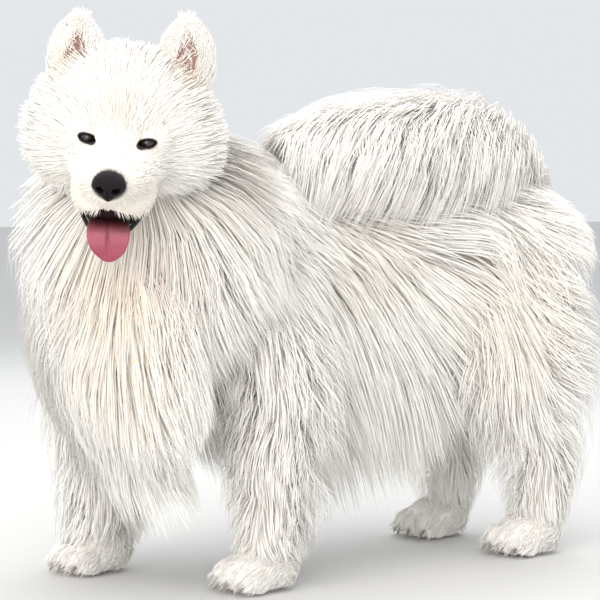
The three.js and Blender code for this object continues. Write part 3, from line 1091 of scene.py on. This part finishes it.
def makeNose():
    pad = [
        ([0, -76, -34], [13, 10, 14]),
        ([0, -88, -35.5], [18.8, 15, 17]),
        ([0, -98, -37.5], [19.2, 14, 16.5]),
        ([0, -104.5, -39.5], [13.5, 9.5, 11.5]),
    ]
    parts = [sweep(plainForm("nose", pad), 0.0, sides=56, rings=30)]
    nose = remeshed(joined("nose_pad", parts), nosePlan["step"], 6)
    holes = []
    for side in (1, -1):
        hole = [
            ([side * 6.5, -90, -38], [2, 2, 2]),
            ([side * 8.6, -100, -40.5], [4.4, 3.4, 4.0]),
            ([side * 12.5, -112, -41], [6.4, 4.0, 4.8]),
            ([side * 17, -122, -41], [7.5, 4.2, 5]),
        ]
        holes.append(sweep(plainForm("hole", hole), 0.0, sides=20, rings=16))
    combined(nose, joined("holes", holes), "DIFFERENCE")
    remeshed(nose, nosePlan["step"], 3)
    moveVertices(nose, creaseNose)
    return nose


def creaseNose(local):
    x, y, z = local.T.copy()
    local[:, 1] += nosePlan["crease"] * np.exp(-((x / 1.3) ** 2)) * ease(-z, 37, 46) * ease(-y, 92, 99)
    local[:, 0] *= 1 - 0.3 * ease(-local[:, 2], 38, 54)  # narrower below, with a short point to the lip
    local[:, 2] -= nosePlan["point"] * np.exp(-((local[:, 0] / 5) ** 2)) * ease(-local[:, 2], 44, 52)
    return local


tonguePlan = {"groove": 2.6, "curl": 3.0}


def tongueMiddle(local):
    return np.interp(-local[:, 2], [84, 130], [0, 4.5])


def shapeTongue(local):
    off = local[:, 0] - tongueMiddle(local)
    middle = np.exp(-((off / 1.5) ** 2)) * ease(local[:, 2], -126, -104)
    edge = (np.abs(off) / 24) ** 3
    local[:, 1] += tonguePlan["groove"] * middle - tonguePlan["curl"] * edge * ease(-local[:, 2], 86, 100)
    return local


def makeTongue():
    stations = [
        ([0, -8, -77], [18, 4, 4]),
        ([0, -36, -83], [21, 4, 4]),
        ([0, -58, -88], [23.5, 3.6, 4]),
        ([1.5, -69, -97], [25, 3.4, 4]),
        ([3, -74, -108], [23, 3.2, 3.6]),
        ([4, -75.5, -118], [18.5, 2.8, 3.2]),
        ([4.3, -75.3, -125], [12, 2.3, 2.8]),
        ([4.5, -75, -130], [4.5, 1.6, 2]),
    ]
    form = plainForm("tongue", stations, (0, -0.6, 0.8))
    tongue = joined("tongue_piece", [sweep(form, 0.0, sides=96, rings=72)])
    moveVertices(tongue, shapeTongue)
    return tongue


def makeLips():
    parts = []
    for side in (1, -1):
        upper = [
            ([side * 45, -2, -50], [2.2, 3.0, 2.6]),
            ([side * 42, -22, -62], [2.4, 3.0, 3.0]),
            ([side * 36, -42, -72], [1.0, 1.2, 1.4]),
        ]
        lower = [
            ([side * 45, -3, -56], [2.0, 3.0, 2.6]),
            ([side * 40, -22, -73], [2.2, 3.6, 2.8]),
            ([side * 31, -40, -88], [2.2, 3.2, 2.8]),
            ([side * 20, -54, -98], [2.2, 2.8, 2.8]),
            ([side * 8, -60, -101], [2.0, 2.0, 2.4]),
        ]
        for edge in (upper, lower):
            parts.append(sweep(plainForm("lip edge", edge), 0.0, sides=16, rings=40))
    return joined("lips", parts)


def makeMouth():
    stations = [
        ([0, 30, -60], [34, 12, 10]),
        ([0, -10, -66], [40, 14, 14]),
        ([0, -36, -73], [34, 10, 14]),
        ([0, -56, -74], [24, 8, 10]),
        ([0, -70, -70], [14, 5, 5]),
    ]
    return joined("mouth_inside", [sweep(plainForm("mouth", stations), 0.0, sides=32, rings=30)])


def makeClaws():
    parts = []
    for foot in feet.values():
        x, y = foot[2]
        for place in toePlaces:
            reach = toeReach(place)
            across = x + place * 20.5
            front = y - 60 - reach
            stations = [
                ([across, front + 8, 15], [2.8, 3.2, 3.2]),
                ([across + place * 0.3, front + 1, 12.5], [2.5, 2.9, 2.7]),
                ([across + place * 0.5, front - 2.5, 8.5], [1.7, 2.0, 1.8]),
                ([across + place * 0.5, front - 4.5, 5.5], [0.6, 0.7, 0.7]),
            ]
            parts.append(sweep(plainForm("claw", stations, head=False), 0.0, sides=14, rings=14))
    return joined("claws", parts)


eyes = [makeEye(1), makeEye(-1)]
rims = makeRims()
nose = makeNose()
tongue = makeTongue()
lipPiece = makeLips()
mouth = makeMouth()
claws = makeClaws()
print("eyes, nose, mouth and claws made")


# Materials


def newMaterial(name):
    material = bpy.data.materials.new(name)
    material.use_nodes = True
    tree = material.node_tree
    return material, tree, tree.nodes["Principled BSDF"]


def put(tree, socket, value):
    if isinstance(value, bpy.types.NodeSocket):
        tree.links.new(value, socket)
    else:
        socket.default_value = value


def setSockets(tree, node, values):
    for name, value in values.items():
        put(tree, node.inputs[name], value)


def mathNode(tree, operation, a, b=0.0, clamp=False):
    node = tree.nodes.new("ShaderNodeMath")
    node.operation = operation
    node.use_clamp = clamp
    put(tree, node.inputs[0], a)
    put(tree, node.inputs[1], b)
    return node.outputs[0]


def mixColours(tree, share, a, b, how="MIX"):
    node = tree.nodes.new("ShaderNodeMix")
    node.data_type = "RGBA"
    node.blend_type = how
    put(tree, node.inputs[0], share)
    put(tree, node.inputs[6], a)
    put(tree, node.inputs[7], b)
    return node.outputs[2]


def noise(tree, place, scale, detail):
    node = tree.nodes.new("ShaderNodeTexNoise")
    setSockets(tree, node, {"Vector": place, "Scale": scale, "Detail": detail})
    return node.outputs["Fac"]


def cells(tree, place, scale, feature):
    node = tree.nodes.new("ShaderNodeTexVoronoi")
    node.feature = feature
    setSockets(tree, node, {"Vector": place, "Scale": scale})
    return node.outputs["Distance"]


def ramp(tree, value, low, high):
    node = tree.nodes.new("ShaderNodeMapRange")
    setSockets(tree, node, {"Value": value, "From Min": low, "From Max": high})
    return node.outputs[0]


def bump(tree, height, strength, distance):
    node = tree.nodes.new("ShaderNodeBump")
    setSockets(tree, node, {"Height": height, "Strength": strength, "Distance": distance})
    return node.outputs["Normal"]


def position(tree):
    return tree.nodes.new("ShaderNodeNewGeometry").outputs["Position"]


def painted(tree, name):
    node = tree.nodes.new("ShaderNodeAttribute")
    node.attribute_name = name
    return node.outputs["Fac"]


def onHead(x, y, z):
    return tuple(fromHead(np.array([[x, y, z]]))[0])


# Cream places, each a centre in the dog's frame, a radius and a strength; the cream on the chest under the
# muzzle is partly painted shade, and round the eyes it is painted shade
creamAndShadeSpots = [
    # the first two: cream on the chest, partly painted shade under the muzzle
    ((190, -470, 400), 180, 1.0),
    ((150, -440, 300), 160, 0.5),
    (onHead(0, 8, 36), 36, 0.8),
    (onHead(70, 36, 78), 40, 0.7),
    (onHead(-66, 36, 76), 40, 0.7),
    ((150, 210, 330), 150, 0.35),
    ((140, -20, 420), 130, 0.2),
    # the last two: painted shade round the eyes
    (onHead(36, -18, 3), 24, 0.8),
    (onHead(-36, -18, 3), 24, 0.8),
]


# Mixes the cream colour in by the spots: real cream markings, and painted shade round the eyes and under the
# muzzle
def makeMarkingsAndShade():
    group = bpy.data.node_groups.new("markings", "ShaderNodeTree")
    group.interface.new_socket(name="Position", in_out="INPUT", socket_type="NodeSocketVector")
    for name in ("White", "Cream"):
        group.interface.new_socket(name=name, in_out="INPUT", socket_type="NodeSocketColor")
    group.interface.new_socket(name="Colour", in_out="OUTPUT", socket_type="NodeSocketColor")
    start = group.nodes.new("NodeGroupInput")
    end = group.nodes.new("NodeGroupOutput")
    place = start.outputs["Position"]
    mask = 0.0
    for centre, radius, strength in creamAndShadeSpots:
        gap = group.nodes.new("ShaderNodeVectorMath")
        gap.operation = "DISTANCE"
        put(group, gap.inputs[0], place)
        put(group, gap.inputs[1], tuple(toPart(np.array(centre, float))))
        fade = group.nodes.new("ShaderNodeMapRange")
        fade.interpolation_type = "SMOOTHSTEP"
        fades = {"From Max": radius / 1000, "To Min": strength, "To Max": 0.0}
        setSockets(group, fade, {"Value": gap.outputs["Value"], **fades})
        mask = mathNode(group, "MAXIMUM", mask, fade.outputs[0])
    cloud = mathNode(group, "MULTIPLY", noise(group, place, 22.0, 4.0), 1.3)
    mask = mathNode(group, "MULTIPLY", mask, mathNode(group, "ADD", cloud, 0.3), True)
    colour = mixColours(group, mask, start.outputs["White"], start.outputs["Cream"])
    group.links.new(colour, end.inputs["Colour"])
    return group


markings = makeMarkingsAndShade()


def markedAndShaded(tree, place, finish):
    node = tree.nodes.new("ShaderNodeGroup")
    node.node_tree = markings
    colours = {"White": (*finish["white"], 1), "Cream": (*finish["cream"], 1)}
    setSockets(tree, node, {"Position": place, **colours})
    return node.outputs["Colour"]


coatFinish = {
    "white": (0.962, 0.944, 0.914),
    "cream": (0.89, 0.79, 0.65),
    # root colour: cream at the hairs' base, and painted shade deep in the coat
    "root": (0.94, 0.90, 0.85),
    "roughness": 0.75,
    "gloss": 0.2,
}


def coatMaterial():
    material, tree, shader = newMaterial("white coat")
    tips = markedAndShaded(tree, position(tree), coatFinish)
    # darker towards the roots: real cream and painted shade of the coat's depth
    depth = mathNode(tree, "POWER", mathNode(tree, "MULTIPLY", painted(tree, "along"), 1.5, True), 0.8)
    colour = mixColours(tree, depth, (*coatFinish["root"], 1), tips)
    shade = mathNode(tree, "ADD", mathNode(tree, "MULTIPLY", painted(tree, "tone"), 0.04), 0.96)
    shade = mixColours(tree, shade, (0, 0, 0, 1), (1, 1, 1, 1))
    looks = {
        "Base Color": mixColours(tree, 1.0, colour, shade, "MULTIPLY"),
        "Roughness": coatFinish["roughness"],
        "Specular IOR Level": coatFinish["gloss"],
    }
    setSockets(tree, shader, looks)
    return material


skinFinish = {
    "white": (0.95, 0.935, 0.91),
    "cream": (0.80, 0.70, 0.58),
    "pink": (0.36, 0.215, 0.18),
    "dark": (0.02, 0.016, 0.017),
    "fluff": 900.0,
}


def skinMaterial():
    material, tree, shader = newMaterial("skin")
    place = position(tree)
    colour = markedAndShaded(tree, place, skinFinish)
    for name in ("pink", "dark"):
        colour = mixColours(tree, painted(tree, name), colour, (*skinFinish[name], 1))
    fluff = noise(tree, place, skinFinish["fluff"], 2.0)
    looks = {"Base Color": colour, "Normal": bump(tree, fluff, 0.6, 0.002), "Roughness": 0.8}
    setSockets(tree, shader, looks)
    return material


# Colour, roughness, cells to a metre, depth of the cells, and wetness
darkFinishes = {
    "nose leather": ((0.006, 0.0038, 0.005), 0.5, 800.0, 0.0009, 0.04),
    "black lips": ((0.006, 0.0045, 0.005), 0.45, 700.0, 0.0003, 0.15),
    "mouth": ((0.010, 0.002, 0.003), 0.7, 300.0, 0.0004, 0.0),
    "claws": ((0.20, 0.17, 0.15), 0.4, 500.0, 0.0002, 0.0),
}


def darkMaterial(name):
    colour, roughness, grain, depth, wet = darkFinishes[name]
    material, tree, shader = newMaterial(name)
    place = position(tree)
    ridge = mathNode(tree, "MULTIPLY", cells(tree, place, grain, "DISTANCE_TO_EDGE"), 3.0, True)
    patch = noise(tree, place, 120.0, 4.0)
    light = tuple(min(c * 2.2 + 0.004, 1) for c in colour)
    spread = mathNode(tree, "MULTIPLY", patch, 0.2)
    looks = {
        "Base Color": mixColours(tree, patch, (*colour, 1), (*light, 1)),
        "Normal": bump(tree, ridge, 0.7, depth),
        "Roughness": mathNode(tree, "ADD", spread, roughness - 0.1),
        "Specular IOR Level": 0.16,
        "Coat Weight": wet,
        "Coat Roughness": 0.15,
    }
    setSockets(tree, shader, looks)
    return material


tongueFinish = {
    "red": (0.27, 0.032, 0.062, 1),
    "rose": (0.40, 0.064, 0.105, 1),
    # painted shade at the back of the tongue, where it leaves the mouth, and along the groove
    "deep": (0.035, 0.006, 0.009, 1),
    "buds": 900.0,
}


def tongueMaterial():
    material, tree, shader = newMaterial("tongue")
    place = position(tree)
    colour = mixColours(tree, noise(tree, place, 60.0, 4.0), tongueFinish["red"], tongueFinish["rose"])
    buds = cells(tree, place, tongueFinish["buds"], "F1")
    looks = {
        # darkened by the painted shade at the back and in the groove
        "Base Color": mixColours(tree, painted(tree, "deep"), colour, tongueFinish["deep"]),
        "Normal": bump(tree, buds, 0.35, 0.0006),
        "Roughness": 0.42,
        "Subsurface Weight": 0.15,
        "Subsurface Radius": (0.004, 0.0015, 0.001),
        "Coat Weight": 0.35,
        "Coat Roughness": 0.25,
    }
    setSockets(tree, shader, looks)
    return material


# Rings are angles from the pupil's middle, in radians
eyeFinish = {
    "pupil": (0.002, 0.002, 0.002, 1),
    "pupilRing": (0.26, 0.32),
    "iris": ((0.008, 0.004, 0.003, 1), (0.030, 0.014, 0.008, 1)),
    "edge": (0.012, 0.008, 0.008, 1),
    "edgeRing": (0.62, 0.76),
}


def eyeMaterial():
    material, tree, shader = newMaterial("eye")
    angle = painted(tree, "fromPupil")
    iris = mixColours(tree, noise(tree, position(tree), 700.0, 3.0), *eyeFinish["iris"])
    colour = mixColours(tree, ramp(tree, angle, *eyeFinish["pupilRing"]), eyeFinish["pupil"], iris)
    colour = mixColours(tree, ramp(tree, angle, *eyeFinish["edgeRing"]), colour, eyeFinish["edge"])
    looks = {"Base Color": colour, "Roughness": 0.25, "Coat Weight": 1.0, "Coat Roughness": 0.03}
    setSockets(tree, shader, looks)
    return material


# Black round the eyes and nose and in the mouth, pink in the ears
def paintSkin():
    local = localPoints(skin)
    near = np.linalg.norm(local, axis=1) < 220  # the head alone
    x, y, z = local.T
    inMouth = (z < -77) & (z > -92) & (y < 0) & (y > -60) & (np.abs(x) < 32)
    aroundEyes = ease(-eyeGap(local), -1.06, -0.94)
    aroundNose = 0.85 * ease(-noseGap(local), -1.25, -1.0)
    pink = np.zeros(len(local))
    for shell, cup in ears.values():
        pink = np.maximum(pink, ease(-cup.depthOf(local, 0.0, 1.5), -1.25, -0.95))
    addValues(skin, "dark", near * np.maximum(np.maximum(aroundEyes, aroundNose), inMouth))
    addValues(skin, "pink", near * pink)


def paintTongue():
    local = localPoints(tongue)
    off = local[:, 0] - tongueMiddle(local)
    # painted shade along the groove and at the back where the tongue leaves the mouth
    groove = np.exp(-((off / 1.3) ** 2)) * ease(local[:, 2], -114, -98)
    addValues(tongue, "deep", np.maximum(ease(local[:, 2], -102, -84), 0.75 * groove))


def cover(pieces, material):
    for piece in pieces:
        piece.data.materials.clear()
        piece.data.materials.append(material)


paintSkin()
paintTongue()
cover([skin], skinMaterial())
cover(coatPieces, coatMaterial())
cover([nose], darkMaterial("nose leather"))
cover([lipPiece, rims], darkMaterial("black lips"))
cover([mouth], darkMaterial("mouth"))
cover([claws], darkMaterial("claws"))
cover([tongue], tongueMaterial())
for eye in eyes:
    cover([eye], eyeMaterial())
print("materials made")


# Stage, light and camera


# Each light: where it stands, what it faces, its size, power and colour
studioPlan = {
    "floor": (0.68, 0.68, 0.67, 1),
    "floorSize": 30,
    "sky": (0.82, 0.84, 0.86, 1),
    "skyStrength": 0.95,
    "lights": {
        "top": ((0.6, -0.6, 3.2), (0, 0, 0.4), 4.4, 76, (1, 0.97, 0.93)),
        "front": ((2.6, -3.0, 1.9), (0, -0.1, 0.35), 4.4, 120, (1, 0.96, 0.915)),
        "rim": ((-1.8, 1.6, 2.4), (0, 0, 0.5), 3.0, 34, (0.97, 0.98, 1)),
    },
}


def makeStage():
    far = studioPlan["floorSize"]
    floor = newMesh("floor", [(-far, -far, 0), (far, -far, 0), (far, far, 0), (-far, far, 0)], [(0, 1, 2, 3)])
    material, tree, shader = newMaterial("floor")
    setSockets(tree, shader, {"Base Color": studioPlan["floor"], "Roughness": 0.9})
    floor.data.materials.append(material)
    world = bpy.data.worlds.new("studio")
    bpy.context.scene.world = world
    world.use_nodes = True
    sky = {"Color": studioPlan["sky"], "Strength": studioPlan["skyStrength"]}
    setSockets(world.node_tree, world.node_tree.nodes["Background"], sky)


def areaLight(name, at, aim, size, power, colour):
    data = bpy.data.lights.new(name, "AREA")
    data.size = size
    data.energy = power
    data.color = colour
    lamp = bpy.data.objects.new(name, data)
    lamp.location = at
    lamp.rotation_euler = (Vector(aim) - Vector(at)).to_track_quat("-Z", "Y").to_euler()
    bpy.context.scene.collection.objects.link(lamp)


cameraPlan = {"at": (2201, -1538, 501), "lens": 117.3, "azimuth": 56, "pitch": 2.957}


def makeCamera():
    data = bpy.data.cameras.new("camera")
    data.lens = cameraPlan["lens"]
    data.sensor_width = 36
    camera = bpy.data.objects.new("camera", data)
    at = toPart(np.array([cameraPlan["at"]], float))[0]
    camera.location = (at[0], at[1], cameraPlan["at"][2] / 1000)
    camera.rotation_euler = (math.radians(90 - cameraPlan["pitch"]), 0, math.radians(cameraPlan["azimuth"]))
    bpy.context.scene.collection.objects.link(camera)
    bpy.context.scene.camera = camera


makeStage()
for name, plan in studioPlan["lights"].items():
    areaLight(name, *plan)
makeCamera()
bpy.context.scene.view_settings.view_transform = "Standard"
bpy.context.scene.view_settings.exposure = 0.0

fleshNodes = ["head", "ear_left", "ear_right", "jaw", "neck", "torso", "tail"]
fleshNodes += ["leg_" + name for name in feet] + ["paw_" + name for name in feet]
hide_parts(*fleshNodes)
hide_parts("nose")
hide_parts("tongue")
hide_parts("eye_left")
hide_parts("eye_right")
slots = {
    "coat": [skin, *coatPieces],
    "nose_skin": [nose, rims, lipPiece, claws],
    "eye": eyes,
    "tongue": [tongue, mouth],
}
for slot, pieces in slots.items():
    for piece in pieces:
        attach(piece, "root")

triangles = [sum(len(face.vertices) - 2 for face in piece.data.polygons) for piece in coatPieces]
print("coat triangles:", sum(triangles), "in all,", max(triangles), "in the largest piece")
